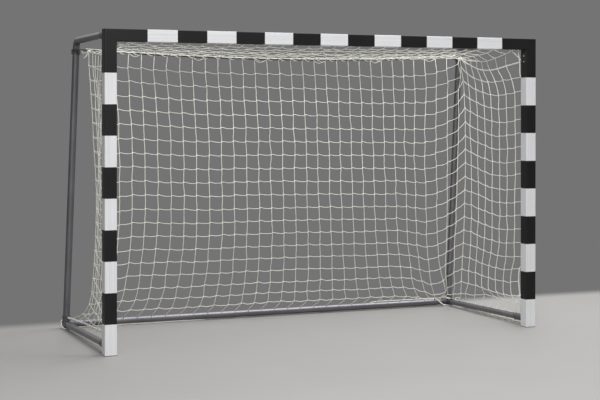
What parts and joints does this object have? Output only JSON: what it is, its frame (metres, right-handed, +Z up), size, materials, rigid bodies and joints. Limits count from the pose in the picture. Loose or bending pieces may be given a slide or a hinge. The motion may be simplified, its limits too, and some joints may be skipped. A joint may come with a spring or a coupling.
{
  "type": "handball goal",
  "caption": "Free-standing indoor handball goal: striped square-section front frame, tubular rear frame with leaning hoops, and a square-mesh net.",
  "frame": {"origin": "on the floor under the middle of the goal's bounding box", "axes": "+X along the crossbar, +Y from the mouth towards the rear rail, +Z up; the front faces of the posts and the crossbar face -Y"},
  "size_m": [3.16, 1.3142, 2.08],
  "materials": {
    "striped_aluminium": "satin white coating with black stripes",
    "hook_plastic": "moulded black",
    "cast_aluminium": "as cast",
    "plated_steel": "zinc plated",
    "foot_plastic": "moulded black",
    "grey_tube": "satin dark grey coating",
    "grey_socket": "satin dark grey coating",
    "foot_rubber": "moulded black",
    "net_cord": "braided white cord",
    "black_rope": "braided black rope"
  },
  "bodies": {
    "root": {"crossbar": "striped_aluminium", "left_post": "striped_aluminium", "right_post": "striped_aluminium", "crossbar_hook_strip": "hook_plastic", "left_post_hook_strip": "hook_plastic", "right_post_hook_strip": "hook_plastic", "rear_rail": "grey_tube", "left_corner_connector": "cast_aluminium", "left_post_screw_1": "plated_steel", "left_post_screw_2": "plated_steel", "left_crossbar_screw_1": "plated_steel", "left_crossbar_screw_2": "plated_steel", "left_foot_plug": "foot_plastic", "left_upper_socket": "grey_socket", "left_upper_nut_bar": "plated_steel", "left_upper_bolt_1": "plated_steel", "left_upper_bolt_2": "plated_steel", "left_upper_socket_grub": "plated_steel", "left_lower_socket": "grey_socket", "left_lower_nut_bar": "plated_steel", "left_lower_bolt_1": "plated_steel", "left_lower_bolt_2": "plated_steel", "left_lower_socket_grub": "plated_steel", "left_hoop": "grey_tube", "left_side_rail": "grey_tube", "left_corner_fitting": "grey_socket", "left_corner_upright_grub": "plated_steel", "left_corner_side_rail_grub": "plated_steel", "left_corner_rear_rail_grub": "plated_steel", "left_rear_foot": "foot_rubber", "left_side_net": "net_cord", "right_corner_connector": "cast_aluminium", "right_post_screw_1": "plated_steel", "right_post_screw_2": "plated_steel", "right_crossbar_screw_1": "plated_steel", "right_crossbar_screw_2": "plated_steel", "right_foot_plug": "foot_plastic", "right_upper_socket": "grey_socket", "right_upper_nut_bar": "plated_steel", "right_upper_bolt_1": "plated_steel", "right_upper_bolt_2": "plated_steel", "right_upper_socket_grub": "plated_steel", "right_lower_socket": "grey_socket", "right_lower_nut_bar": "plated_steel", "right_lower_bolt_1": "plated_steel", "right_lower_bolt_2": "plated_steel", "right_lower_socket_grub": "plated_steel", "right_hoop": "grey_tube", "right_side_rail": "grey_tube", "right_corner_fitting": "grey_socket", "right_corner_upright_grub": "plated_steel", "right_corner_side_rail_grub": "plated_steel", "right_corner_rear_rail_grub": "plated_steel", "right_rear_foot": "foot_rubber", "right_side_net": "net_cord", "tie_rope": "black_rope", "edge_rope": "net_cord", "rear_net": "net_cord", "top_net": "net_cord"}
  },
  "joints": []
}
